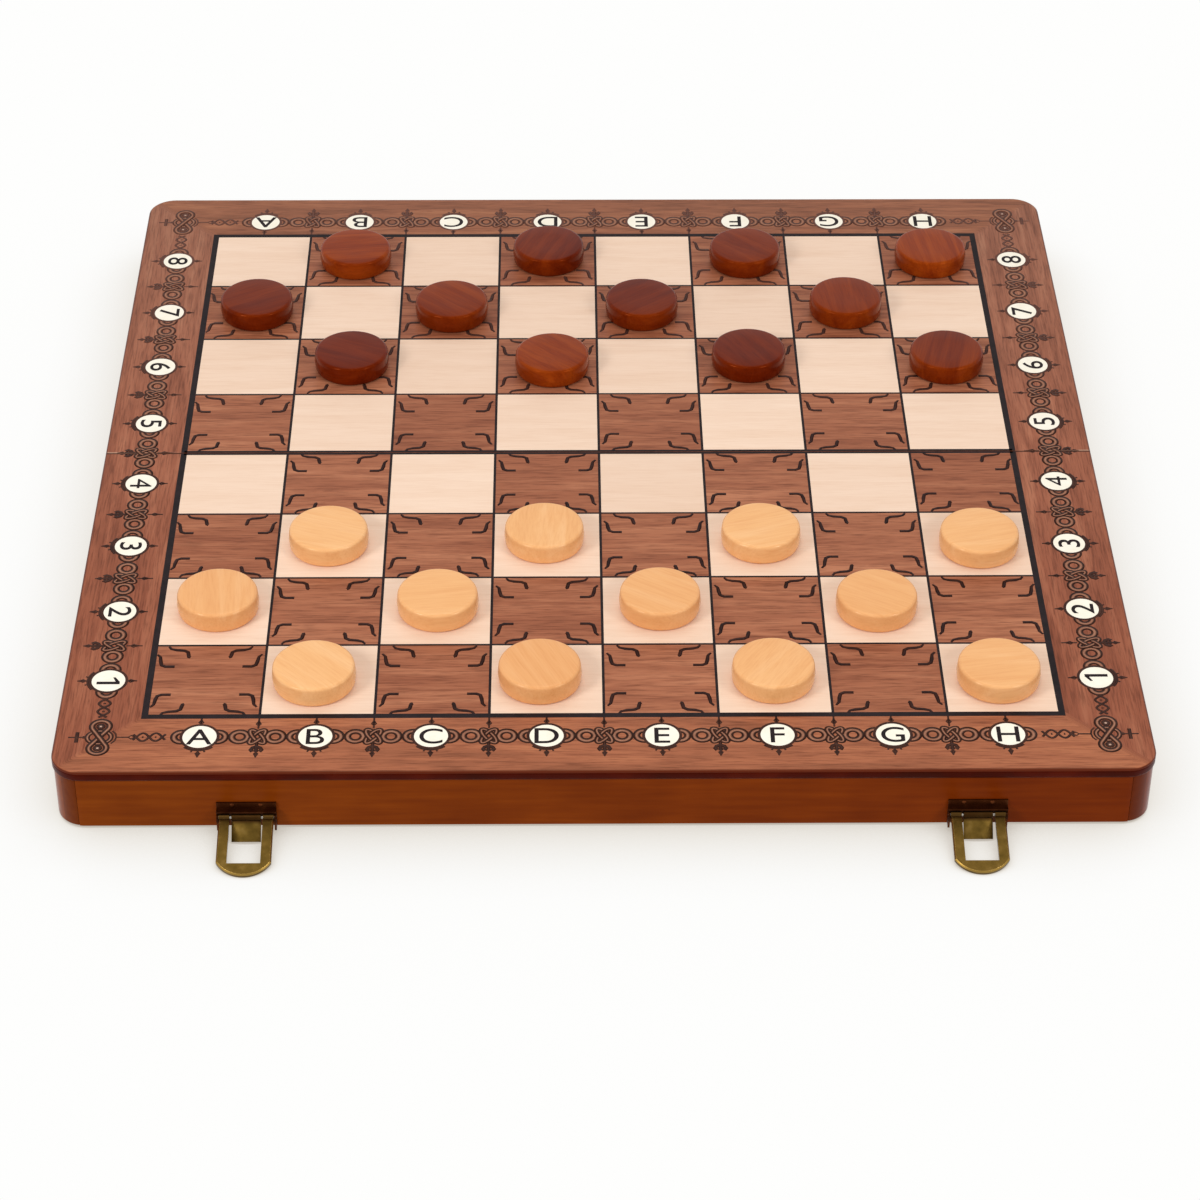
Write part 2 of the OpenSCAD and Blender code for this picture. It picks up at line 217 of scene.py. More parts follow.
def noise_of(tree, place, scale, detail, **more):
    """Output of a noise, with more of its inputs by name."""
    inputs = {"Vector": place, "Scale": scale, "Detail": detail, **more}
    return add_node(tree, "TexNoise", inputs).outputs[0]


# %% [markdown]
# ## Selecting and turning
# Operators work on what is selected. These helpers pick faces by a test, and copy a piece with a mesh
# of its own.

# %% Picking and copying
def only(piece):
    """Makes a piece the only selected and the active object."""
    if bpy.context.object and bpy.context.object.mode != "OBJECT":
        bpy.ops.object.mode_set(mode="OBJECT")
    bpy.ops.object.select_all(action="DESELECT")
    piece.select_set(True)
    bpy.context.view_layer.objects.active = piece
    return piece


def pick_faces(piece, wanted):
    """Opens edit mode with just the faces selected that pass the test."""
    only(piece)
    bpy.context.tool_settings.mesh_select_mode = (False, False, True)
    for group in (piece.data.vertices, piece.data.edges):
        group.foreach_set("select", [False] * len(group))
    for face in piece.data.polygons:
        face.select = wanted(face)
    bpy.ops.object.mode_set(mode="EDIT")


def pick_all(piece):
    """Opens edit mode with everything selected."""
    only(piece)
    bpy.context.tool_settings.mesh_select_mode = (True, False, False)
    bpy.ops.object.mode_set(mode="EDIT")
    bpy.ops.mesh.select_all(action="SELECT")


def settle(piece, name, scale=(1, 1, 1)):
    """Names a piece and puts its place and its scale into its mesh."""
    only(piece)
    piece.scale = scale
    bpy.ops.object.transform_apply(location=True, rotation=True, scale=True)
    piece.name = piece.data.name = name
    return piece


def own_copy(piece, name, matrix):
    """A copy with its own mesh, moved by a matrix."""
    made = piece.copy()
    made.data = piece.data.copy()
    made.data.transform(matrix)
    bpy.context.scene.collection.objects.link(made)
    made.name = made.data.name = name
    return made


def joined(pieces, name):
    """One piece out of several."""
    bpy.ops.object.select_all(action="DESELECT")
    for piece in pieces:
        piece.select_set(True)
    bpy.context.view_layer.objects.active = pieces[0]
    bpy.ops.object.join()
    return settle(pieces[0], name)


def finish_with(piece, kind, **settings):
    """Adds a modifier and applies it."""
    only(piece)
    modifier = piece.modifiers.new(kind.lower(), kind)
    for name, value in settings.items():
        setattr(modifier, name, value)
    bpy.ops.object.modifier_apply(modifier=modifier.name)
    return piece


def dress(piece, *materials):
    """Gives a piece or a node its materials."""
    piece.data.materials.clear()
    for material in materials:
        piece.data.materials.append(material)
    return piece


def corners_of(piece):
    """Lowest and highest corner of a piece's mesh."""
    places = [vertex.co for vertex in piece.data.vertices]
    low = Vector([min(place[i] for place in places) for i in range(3)])
    high = Vector([max(place[i] for place in places) for i in range(3)])
    return low, high


def set_at(place, angle=0.0):
    """Matrix that turns a motif about Z and moves it to an (x, y) place."""
    return Matrix.Translation((*place, 0)) @ Matrix.Rotation(angle, 4, "Z")


QUARTER = math.pi / 2
HALF_TURN = Matrix.Rotation(math.pi, 4, "Z")

# %% [markdown]
# ## Floor and light
# The board is photographed on white. The floor under it is a sheet that lets everything through and
# only darkens what is seen where the box keeps the light off it. So the box still stands on a pale
# floor with its own soft shadow, and a half that is folded below that level stays in sight.
# The light is plain: an even sky and four soft boxes.

# %% Floor
NEAR_SHADE = 45 * MM
WIDE_SHADE = 160 * MM


def shadow_floor():
    """Clear to every ray but the camera's, which it darkens near the box."""
    made, tree, shader = new_material("white_floor_with_contact_shadow")
    tree.nodes.remove(shader)
    near = add_node(tree, "AmbientOcclusion", {"Distance": NEAR_SHADE}, samples=16)
    wide = add_node(tree, "AmbientOcclusion", {"Distance": WIDE_SHADE}, samples=16)
    close_shade = ramp_of(tree, near.outputs["AO"], [(0.25, "#c6bfb6"), (0.58, "#f2efea"), (0.93, "#ffffff")])
    wide_shade = ramp_of(tree, wide.outputs["AO"], [(0.4, "#f5f3f0"), (0.98, "#fefefd")])
    shade = tinted(tree, close_shade, wide_shade)
    path = add_node(tree, "LightPath")
    seen = mix_of(tree, path.outputs["Is Camera Ray"], (1, 1, 1, 1), shade)
    clear = add_node(tree, "BsdfTransparent", {"Color": seen})
    out = tree.nodes["Material Output"]
    tree.links.new(clear.outputs[0], out.inputs["Surface"])
    return made


table = min(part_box(node)[0].z for node in frame["nodes"])
bpy.ops.mesh.primitive_plane_add(size=6, location=(0, 0, table))
floor = settle(bpy.context.object, "floor")
dress(floor, shadow_floor())
print("floor at", round(table / MM, 2), "mm")

# %% Sky and soft boxes
SKY = 0.55
world = bpy.data.worlds.new("white_studio")
bpy.context.scene.world = world
world.use_nodes = True
sky_tree = world.node_tree
path = add_node(sky_tree, "LightPath")
seen = math_of(sky_tree, "MAXIMUM", path.outputs["Is Camera Ray"], path.outputs["Is Glossy Ray"])
seen = math_of(sky_tree, "MAXIMUM", seen, path.outputs["Is Transmission Ray"])
brightness = range_of(sky_tree, seen, 0.0, 1.0, SKY, 1.0)
sky_tree.links.new(brightness, sky_tree.nodes["Background"].inputs["Strength"])
sky_tree.nodes["Background"].inputs["Color"].default_value = (1, 1, 1, 1)


def soft_box(name, place, aim, size, power):
    """A square lamp with soft edges to its shadows."""
    data = bpy.data.lights.new(name, "AREA")
    data.size = size
    data.energy = power
    lamp = bpy.data.objects.new(name, data)
    bpy.context.scene.collection.objects.link(lamp)
    turn_to = (Vector(aim) - Vector(place)).to_track_quat("-Z", "Y").to_matrix().to_4x4()
    lamp.matrix_world = Matrix.Translation(place) @ turn_to
    return lamp


soft_box("box_left", (-0.95, -0.8, 0.85), (0, 0, 0), 0.35, 7.6)
soft_box("box_right", (0.95, -0.8, 0.85), (0, 0, 0), 0.35, 5.2)
soft_box("box_above", (0, 0.5, 1.5), (0, 0.1, 0), 0.9, 4.2)
soft_box("box_front", (-0.12, -0.95, 1.45), (0, 0, 0), 0.22, 2.2)

# %% [markdown]
# ## Varnished wood
# The rails are beech, stained orange-brown and sprayed with gloss lacquer. Beech has short fine grain,
# so a stretched noise gives the streaks, with a slower one for the uneven take-up of the stain. The
# grain runs along each rail, so the pattern is stretched along X or along Y.

# %% Rails
def stained_rail(name, along):
    """Stained beech: streaks along the rail, darker where the stain sat and on the end grain, with painted
    shade towards the rail's right end.
    """
    made, tree, shader = lacquered(name, 0.28, 0.16, "#ff8a40")
    place = object_place(tree)
    stretch = (30, 700, 420) if along == "X" else (700, 30, 420)
    grain = noise_of(tree, stretched(tree, place, stretch), 1.0, 4.0, Roughness=0.55)
    slow = noise_of(tree, place, 30.0, 3.0)
    wood = ramp_of(tree, grain, [(0.25, "#793406"), (0.5, "#833b07"), (0.75, "#8d430a")])
    stain = ramp_of(tree, slow, [(0.3, "#dccdc4"), (0.65, "#ffffff")])
    base = mix_of(tree, 0.8, wood, stain, "MULTIPLY")
    # Painted shade: the rail is darkened towards its right end, as the light falls from the left.
    right_end_shade = range_of(tree, parts_of(tree, place)["X"], -0.2, 0.2)
    base = tinted(tree, base, mix_of(tree, right_end_shade, colour("#ffffff"), colour("#e4bfa8")))
    normal = add_node(tree, "NewGeometry").outputs["True Normal"]
    facing = math_of(tree, "ABSOLUTE", parts_of(tree, normal)[along])
    end_grain = math_of(tree, "GREATER_THAN", facing, 0.75)
    base = mix_of(tree, math_of(tree, "MULTIPLY", end_grain, 0.5), base, colour("#4e1c06"))
    painted(made, shader, base)
    bump = add_node(tree, "Bump", {"Height": grain, "Strength": 0.06, "Distance": 0.1 * MM})
    tree.links.new(bump.outputs[0], shader.inputs["Normal"])
    return made


rail_along_x = stained_rail("stained_beech_rail_x", "X")
rail_along_y = stained_rail("stained_beech_rail_y", "Y")

# %% [markdown]
# The plywood panel's edge is painted with dark stain, which soaks into the end grain and stays nearly
# black-brown. The plies still show as faint level lines.

# %% Panel edges
def stained_plywood():
    """Dark stain on plywood, with the plies as level bands about 0.8 mm apart."""
    made, tree, shader = lacquered("dark_stained_plywood", 0.38, 0.15, "#ff6838")
    place = object_place(tree)
    wave = {"Vector": place, "Scale": 390.0, "Distortion": 1.5}
    plies = add_node(tree, "TexWave", wave, bands_direction="Z")
    blotch = noise_of(tree, place, 60.0, 4.0)
    tone = ramp_of(tree, blotch, [(0.3, "#330c05"), (0.55, "#440d04"), (0.8, "#581707")])
    return painted(made, shader, mix_of(tree, 0.18, tone, plies.outputs[0], "MULTIPLY"))


panel_edge = stained_plywood()

# %% [markdown]
# ## The printed lids
# The lids are covered with a foil printed as rosewood veneer and lacquered satin. The borders are
# mitred: the grain of the front and back strips runs along the fold, that of the side strips across
# it, and they meet on the diagonals. The pattern does the same by comparing |x| with |y|.

# %% Printed veneer
def veneer_streaks(tree, place, seed):
    """Grain for print, stretched along X of a place: short fine pores and broad bands."""
    fine_place = stretched(tree, place, (90, 1500, 1), seed)
    broad_place = stretched(tree, place, (14, 190, 1), seed)
    fine = noise_of(tree, fine_place, 1.0, 3.0, Roughness=0.6, Distortion=0.3)
    return fine, noise_of(tree, broad_place, 1.0, 4.0, Distortion=0.8)


def veneer_colour(tree, fine, broad, stops, pores):
    """Bands of veneer colour with darker pores printed over them."""
    bands = ramp_of(tree, broad, stops)
    dark = ramp_of(tree, fine, [(0.34, pores), (0.54, "#ffffff")])
    return mix_of(tree, 0.5, bands, dark, "MULTIPLY")


def printed_border():
    """Rosewood print, mitred at the corners. The rounded edge below it is stained dark."""
    made, tree, shader = lacquered("rosewood_print_border", 0.36, 0.18, "#ffc8a8")
    place = object_place(tree)
    x, y, z = parts_of(tree, place)
    turned = add_node(tree, "CombineXYZ", {0: y, 1: x, 2: z}).outputs[0]
    flat_x = math_of(tree, "ABSOLUTE", x)
    flat_y = math_of(tree, "ABSOLUTE", y)
    on_side = range_of(tree, math_of(tree, "SUBTRACT", flat_x, flat_y), -2 * MM, 2 * MM)
    along = add_node(tree, "Mix", {0: on_side, 4: place, 5: turned}, data_type="VECTOR").outputs[1]
    fine, broad = veneer_streaks(tree, along, (0.3, 0.1, 0))
    front_stops = [(0.3, "#8a5137"), (0.5, "#a36143"), (0.72, "#b6724f")]
    side_stops = [(0.3, "#8b5039"), (0.5, "#a36349"), (0.72, "#b6775a")]
    front = veneer_colour(tree, fine, broad, front_stops, "#8a6a5c")
    side = veneer_colour(tree, fine, broad, side_stops, "#806254")
    # Painted shade and sheen: the side strips are darkened towards the front, and the whole border is made
    # paler and cooler towards the back, as light and sheen fall on the lid.
    to_front = range_of(tree, y, -0.1, 0.1, 1.0, 0.0)
    side = mix_of(tree, to_front, side, tinted(tree, side, colour("#e4d6d0")))
    base = mix_of(tree, on_side, front, side)
    to_back = range_of(tree, y, 0.0, 0.19)
    base = mix_of(tree, to_back, base, tinted(tree, base, colour("#e6eef2")))
    # Painted highlight: a pale line along the far lid's eased edge at the fold, brighter towards the outer
    # ends, where that edge catches the light.
    wear_and_highlight = range_of(tree, y, FOLD + 0.3 * MM, FOLD + 0.7 * MM, 0.55, 0.0)
    wear_and_highlight = math_of(tree, "MULTIPLY", wear_and_highlight, range_of(tree, flat_x, FIELD + 2 * MM, HALF_W, 0.1))
    wear_and_highlight = math_of(tree, "MULTIPLY", wear_and_highlight, math_of(tree, "GREATER_THAN", y, 0.0))
    base = mix_of(tree, wear_and_highlight, base, colour("#d2b096"))
    # Painted shadow: a dark line along the near lid's edge at the fold, in the shade of the gap.
    shaded = range_of(tree, y, -FOLD - 0.6 * MM, -FOLD - 0.3 * MM)
    shaded = math_of(tree, "MULTIPLY", shaded, math_of(tree, "LESS_THAN", y, 0.0))
    base = mix_of(tree, shaded, base, colour("#3a1a10"))
    rims = [range_of(tree, flat, end - 0.9 * MM, end - 0.5 * MM, 0.0, 0.75)
            for flat, end in ((flat_x, HALF_W), (flat_y, HALF_D))]
    base = mix_of(tree, math_of(tree, "MAXIMUM", *rims), base, colour("#4c2014"))
    drop = range_of(tree, z, TOP - 0.3 * MM, TOP - 0.08 * MM, 1.0, 0.0)
    painted(made, shader, mix_of(tree, drop, base, colour("#5a1f0c")))
    bump = add_node(tree, "Bump", {"Height": fine, "Strength": 0.05, "Distance": 0.05 * MM})
    tree.links.new(bump.outputs[0], shader.inputs["Normal"])
    return made


border_print = printed_border()
for half in ("near", "far"):
    dress(frame["nodes"][half + "_face_sheet"], border_print)

# %% [markdown]
# The squares are part of the same print. Each dark square is cut from another stretch of veneer, so
# its cell number moves the pattern and changes the tone a little. The light ones are nearly plain
# maple. The lines between them are solid black-brown ink.

# %% Squares and ink
def cell_number(tree, place):
    """A random colour for each square of the field."""
    cells = vector_of(tree, "DIVIDE", place, (SQUARE, SQUARE, 1))
    whole = {"Vector": vector_of(tree, "FLOOR", cells)}
    return add_node(tree, "TexWhiteNoise", whole, noise_dimensions="3D").outputs["Color"]


def printed_square(name, stops, pores, tone_low):
    """Veneer print whose pattern and tone change from square to square."""
    made, tree, shader = lacquered(name, 0.38, 0.18, "#ffd0b4")
    level = vector_of(tree, "MULTIPLY", object_place(tree), (1, 1, 0))
    number = cell_number(tree, level)
    fine, broad = veneer_streaks(tree, vector_of(tree, "ADD", level, number), (0, 0, 0))
    tone = mix_of(tree, number, colour(tone_low), colour("#ffffff"))
    base = tinted(tree, veneer_colour(tree, fine, broad, stops, pores), tone)
    return painted(made, shader, base)


def printed_ink(name, code, second, paler_to_back=0.0):
    """Printing ink, flat and a little uneven on the foil. The last argument is how much paler it is made
    towards the back.
    """
    made, tree, shader = lacquered(name, 0.5, 0.08)
    place = object_place(tree)
    ink = ramp_of(tree, noise_of(tree, place, 300.0, 3.0), [(0.35, code), (0.65, second)])
    to_back = range_of(tree, parts_of(tree, place)["Y"], 0.0, 0.15, 0.0, paler_to_back)
    return painted(made, shader, mix_of(tree, to_back, ink, colour("#86584a")))


dark_square = printed_square("rosewood_print_square", [(0.3, "#95583e"), (0.5, "#aa6a4c"), (0.72, "#bd7d5c")],
                             "#7c584a", "#e6dcd8")
light_square = printed_square("maple_print_square", [(0.3, "#efd0b7"), (0.7, "#f5d9c2")],
                              "#f6f0ea", "#f6f3f1")
line_ink = printed_ink("black_brown_ink", "#1a1415", "#241a1c")
curl_ink = printed_ink("dark_brown_ink", "#241210", "#341a14", 0.25)
knot_ink = printed_ink("brown_ornament_ink", "#341d17", "#45291f", 0.4)
strap_ink = printed_ink("pale_ornament_ink", "#95644e", "#a4735b")
eye_ink = printed_ink("cream_ornament_ink", "#bd9a86", "#cbaa96")
disc_ink = printed_ink("cream_label_ink", "#f7efdc", "#fbf4e4")

# %% [markdown]
# ## The field
# Four rows of eight squares make one half of the field. A grid gives the 32 faces. Insetting each
# face leaves a thin frame round it, and those frames together are the printed lines, so squares and
# lines fit each other without gaps. A solidify modifier makes the print a thin closed sheet.

# %% Squares and lines
PRINT_TOP = TOP + 0.020 * MM
PRINT_THICK = 0.03 * MM
LINE = 1.0 * MM


def is_dark(x, y):
    """True on a dark square."""
    column = math.floor(x / SQUARE) + 4
    row = math.floor((y + FOLD) / SQUARE) + 4
    return (column + row) % 2 == 0


def is_square(face, dark):
    """True for the large face of a dark or a light square."""
    return face.area > (SQUARE / 2) ** 2 and is_dark(face.center.x, face.center.y) == dark


def near_field():
    middle = (0, -FIELD / 2 - FOLD, PRINT_TOP)
    bpy.ops.mesh.primitive_grid_add(x_subdivisions=8, y_subdivisions=4, size=1, location=middle)
    piece = settle(bpy.context.object, "near_field", (2 * FIELD, FIELD, 1))
    dress(piece, line_ink, light_square, dark_square)
    pick_all(piece)
    bpy.ops.mesh.inset(thickness=LINE / 2, use_individual=True)
    for number, dark in ((1, False), (2, True)):
        pick_faces(piece, lambda face: is_square(face, dark))
        piece.active_material_index = number
        bpy.ops.object.material_slot_assign()
    return finish_with(piece, "SOLIDIFY", thickness=PRINT_THICK, offset=-1)


field_near = near_field()
field_far = own_copy(field_near, "far_field", HALF_TURN)
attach(field_near, "near_half")
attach(field_far, "far_half")
print("field faces", len(field_near.data.polygons))

# %% [markdown]
# A heavier black band frames the field on three sides of each half. It is a square ring cut off at
# the fold, where a narrow strip of the same ink follows the lid's edge.

# %% Band round the field
BAND = 2.4 * MM
FOLD_LINE = 1.2 * MM
INK_TOP = TOP + 0.032 * MM
INK_THICK = 0.04 * MM


def near_band():
    outer = 2 * FIELD + BAND
    bpy.ops.mesh.primitive_plane_add(size=1, location=(0, 0, INK_TOP))
    ring_part = settle(bpy.context.object, "near_band", (outer, outer + 2 * FOLD, 1))
    pick_all(ring_part)
    bpy.ops.mesh.inset(thickness=BAND)
    bpy.ops.mesh.delete(type="FACE")
    bpy.ops.mesh.select_all(action="SELECT")
    bpy.ops.mesh.bisect(plane_co=(0, -FOLD, 0), plane_no=(0, 1, 0), clear_outer=True)
    only(ring_part)
    middle = (0, -FOLD - FOLD_LINE / 2, INK_TOP)
    bpy.ops.mesh.primitive_plane_add(size=1, location=middle)
    fold_line = settle(bpy.context.object, "fold_line")
    pick_all(fold_line)
    bpy.ops.transform.resize(value=(2 * FIELD, FOLD_LINE, 1), center_override=middle)
    only(fold_line)
    piece = joined([ring_part, fold_line], "near_band")
    return dress(finish_with(piece, "SOLIDIFY", thickness=INK_THICK, offset=-1), line_ink)


band_near = near_band()
band_far = own_copy(band_near, "far_band", HALF_TURN)
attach(band_near, "near_half")
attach(band_far, "far_half")

# %% [markdown]
# ## Drawn ornament
# The curls and the knotwork are pen strokes. Each stroke is a curve with a small four-sided section,
# and pressing it flat gives a closed ribbon that lies in the print. Shapes are circles, ovals,
# figure-eights, sine waves and short lines, in millimetres round the motif's own middle.

# %% Strokes
STROKE_HALF_T = 0.02 * MM


def ring(x, y, radius, steps):
    """Closed stroke round a middle."""
    turns = [2 * math.pi * i / steps for i in range(steps)]
    return [(x + radius * math.cos(t), y + radius * math.sin(t)) for t in turns], True


def line(*points):
    """Open stroke through points."""
    return list(points), False


def drawn(name, strokes, width, material, level, start=1.0):
    """Flat ribbons from (points, closed) strokes in mm. start is the width of a stroke's first point."""
    curve = bpy.data.curves.new(name, "CURVE")
    curve.dimensions = "3D"
    curve.twist_mode = "Z_UP"
    curve.bevel_depth = width / 2 * MM
    curve.bevel_resolution = 0
    curve.use_fill_caps = True
    for points, closed in strokes:
        spline = curve.splines.new("POLY")
        spline.points.add(len(points) - 1)
        for number, (point, (x, y)) in enumerate(zip(spline.points, points)):
            point.co = (x * MM, y * MM, 0, 1)
            point.radius = min(1.0, start + number / 4)
        spline.use_cyclic_u = closed
    piece = bpy.data.objects.new(name, curve)
    bpy.context.scene.collection.objects.link(piece)
    only(piece)
    bpy.ops.object.convert(target="MESH")
    piece = bpy.context.object
    pick_all(piece)
    bpy.ops.transform.resize(value=(1, 1, 2 * STROKE_HALF_T / (width * MM)), center_override=(0, 0, 0))
    bpy.ops.transform.translate(value=(0, 0, level))
    settle(piece, name)
    return dress(piece, material)


def spread(motif, places, name):
    """One piece of copies of a motif, each at ((x, y), turn)."""
    copies = [own_copy(motif, f"{name}_{number}", set_at(place, angle))
              for number, (place, angle) in enumerate(places)]
    return joined(copies, name)


# %% [markdown]
# Every dark square carries two S-shaped curls in each corner: one along the edge that runs with the
# fold, and one along the other edge. One corner is drawn and mirrored into the other three.

# %% Curls in the dark squares
CURL_ALONG = [(0.126, 0.015), (0.15, 0.05), (0.2, 0.066), (0.268, 0.074),
              (0.302, 0.096), (0.31, 0.14), (0.315, 0.165), (0.33, 0.171)]
CURL_UP = [(0.034, 0.127), (0.062, 0.165), (0.07, 0.23), (0.083, 0.283), (0.118, 0.302), (0.2, 0.302)]
CURL_WIDTH = 1.5


def corner_curls():
    """The eight curls of one square, round the square's middle."""
    side = SQUARE / MM
    strokes = []
    for across in (-1, 1):
        for up in (-1, 1):
            for curl in (CURL_ALONG, CURL_UP):
                strokes.append(line(*[(across * (0.5 - u) * side, up * (0.5 - v) * side) for u, v in curl]))
    return drawn("curl_pattern", strokes, CURL_WIDTH, curl_ink, PRINT_TOP, start=0.55)


curl_pattern = corner_curls()
dark_middles = [((column + 0.5) * SQUARE, -(row + 0.5) * SQUARE - FOLD)
                for row in range(4) for column in range(-4, 4) if (column + row) % 2 == 1]
curls_near = spread(curl_pattern, [(place, 0) for place in dark_middles], "near_curls")
curls_far = own_copy(curls_near, "far_curls", HALF_TURN)
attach(curls_near, "near_half")
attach(curls_far, "far_half")
bpy.data.objects.remove(curl_pattern)
print("curls on", len(dark_middles), "squares of a half")

# %% [markdown]
# Between the labels runs a traditional interlaced band. At every line between two squares it ties a
# knot, with a bud towards the field and leaves on the outer side. Round every label it opens into a
# loop on either side. A strap is two ribbons, a dark one and a narrower pale one on it, and a strap
# that passes over another lies one thin layer higher, as ink printed last would.

# %% Straps
DISC_R = 6.05 * MM
RIM_R = 7.1 * MM
THIN = 0.7
BOLD = 1.0
DROP = 1.7
CORE_RISE = 0.012 * MM
LAYER = 0.036 * MM
LOOP_X = 6.3
LOOP_R = 2.8
LOOP_STRAP = (2.7, 1.1)
PLAIT_STRAP = (1.95, 0.65)
PLAIT_REACH = 4.4
PLAIT_WIDTH = 1.5
PLAIT_LEAN = math.radians(57)
OVER_REACH = 1.15
COLLAR_GROW = 1.05


def strap(name, strokes, widths, layer=0):
    """Dark ribbons with pale ones on them, on the given layer."""
    level = TOP + layer * LAYER
    edge = drawn(name + "_edge", strokes, widths[0], knot_ink, level)
    face = drawn(name + "_face", strokes, widths[1], strap_ink, level + CORE_RISE)
    return joined([edge, face], name)


def oval(reach, width, lean, steps=44):
    """Closed stroke round the origin: an ellipse whose long axis leans by an angle."""
    c, s = math.cos(lean), math.sin(lean)
    turns = [2 * math.pi * i / steps for i in range(steps)]
    flat = [(reach * math.cos(t), width * math.sin(t)) for t in turns]
    return [(c * x - s * y, s * x + c * y) for x, y in flat], True


def bud(foot, tip, half_width):
    """Small pointed bud on a stem, with its line inside."""
    middle = foot + 0.35 * (tip - foot)
    diamond = [(0, foot), (half_width, middle), (0, tip), (-half_width, middle)]
    return [(diamond, True), line((0, foot), (0, tip))]


def side_loops():
    """A round loop on either side of a motif."""
    return strap("loops", [ring(side * LOOP_X, 0, LOOP_R, 36) for side in (-1, 1)], LOOP_STRAP)


# %% Knots and loops
def line_knot():
    """Knot on a line between squares, with +Y towards the field."""
    rising = oval(PLAIT_REACH, PLAIT_WIDTH, PLAIT_LEAN)
    falling = oval(PLAIT_REACH, PLAIT_WIDTH, math.pi - PLAIT_LEAN)
    over = [line(*[(x, y) for x, y in rising[0] if abs(x) < OVER_REACH and y * side > 0]) for side in (-1, 1)]
    leaves = [line((0, -5.2), (side * 1.3, -6.0), (side * 1.9, -7.2), (side * 1.2, -8.2)) for side in (-1, 1)]
    lines = bud(5.9, 9.2, 0.8) + bud(-8.4, -11.3, 0.7) + [line((0, 4.4), (0, 10.4))]
    drops = [line((0, -3.9), (0, -8.4))] + leaves
    parts = [side_loops(),
             strap("rising", [rising], PLAIT_STRAP, 1),
             strap("falling", [falling], PLAIT_STRAP, 2),
             strap("over", over, PLAIT_STRAP, 3),
             drawn("lines", lines, THIN, knot_ink, TOP),
             drawn("drops", drops, DROP, knot_ink, TOP, start=0.7)]
    return joined(parts, "knot_pattern")


def label_loops():
    """Loops, buds and collar round a label, with +Y towards the field."""
    reach = RIM_R / MM * COLLAR_GROW
    turns = [math.radians(6 * i) for i in range(-7, 8)]
    collar = line(*[(reach * math.sin(t), -reach * math.cos(t)) for t in turns])
    nubs = [line((side * 2.1, -7.6), (side * 2.5, -8.4)) for side in (-1, 1)]
    stems = [line((0, -7.0), (0, -8.4)), line((0, 6.8), (0, 10.4))]
    lines = nubs + bud(7.0, 9.8, 0.8) + bud(-8.0, -11.2, 0.75) + stems
    parts = [side_loops(),
             drawn("lines", lines, THIN, knot_ink, TOP),
             drawn("collar", [collar], BOLD, knot_ink, TOP)]
    return joined(parts, "loops_pattern")


knot_pattern = line_knot()
loops_pattern = label_loops()
print("knot faces", len(knot_pattern.data.polygons), "loop faces", len(loops_pattern.data.polygons))

# %% [markdown]
# In each outer corner the two bands meet on an upright figure-eight with ringed eyes. Its two round
# loops are arcs, joined by straight stretches that cross in the middle. A stem and a short braid lead
# from it to the first label of the front, and a braid to the first label of the side.

# %% Corner knot
EIGHT_REACH = 6.0
EIGHT_R = 3.1
EIGHT_STRAP = (2.4, 0.85)
CROSSING = 0.62
EYE_HALF = 0.4
DOT_HALF = 0.3


def round_eight(reach, radius, steps=26):
    """Closed stroke: an upright figure-eight of two arcs, at reach and -reach, and crossing tangents."""
    lean = math.asin(radius / reach)
    sweep = [-lean + (math.pi + 2 * lean) * i / steps for i in range(steps + 1)]
    upper = [(radius * math.cos(t), reach + radius * math.sin(t)) for t in sweep]
    return upper + [(x, -y) for x, y in upper], True


def braid(start, end, half_width, lozenges, upright=False, steps=8, tail=2):
    """Two waves that cross at the ends of each lozenge, from start to end, with short tails."""
    length = (end - start) / (lozenges * steps)
    strokes = []
    for side in (-1, 1):
        run = [(start + length * i, side * half_width * math.sin(math.pi * i / steps))
               for i in range(-tail, lozenges * steps + tail + 1)]
        strokes.append(line(*[(y, x) for x, y in run] if upright else run))
    return strokes


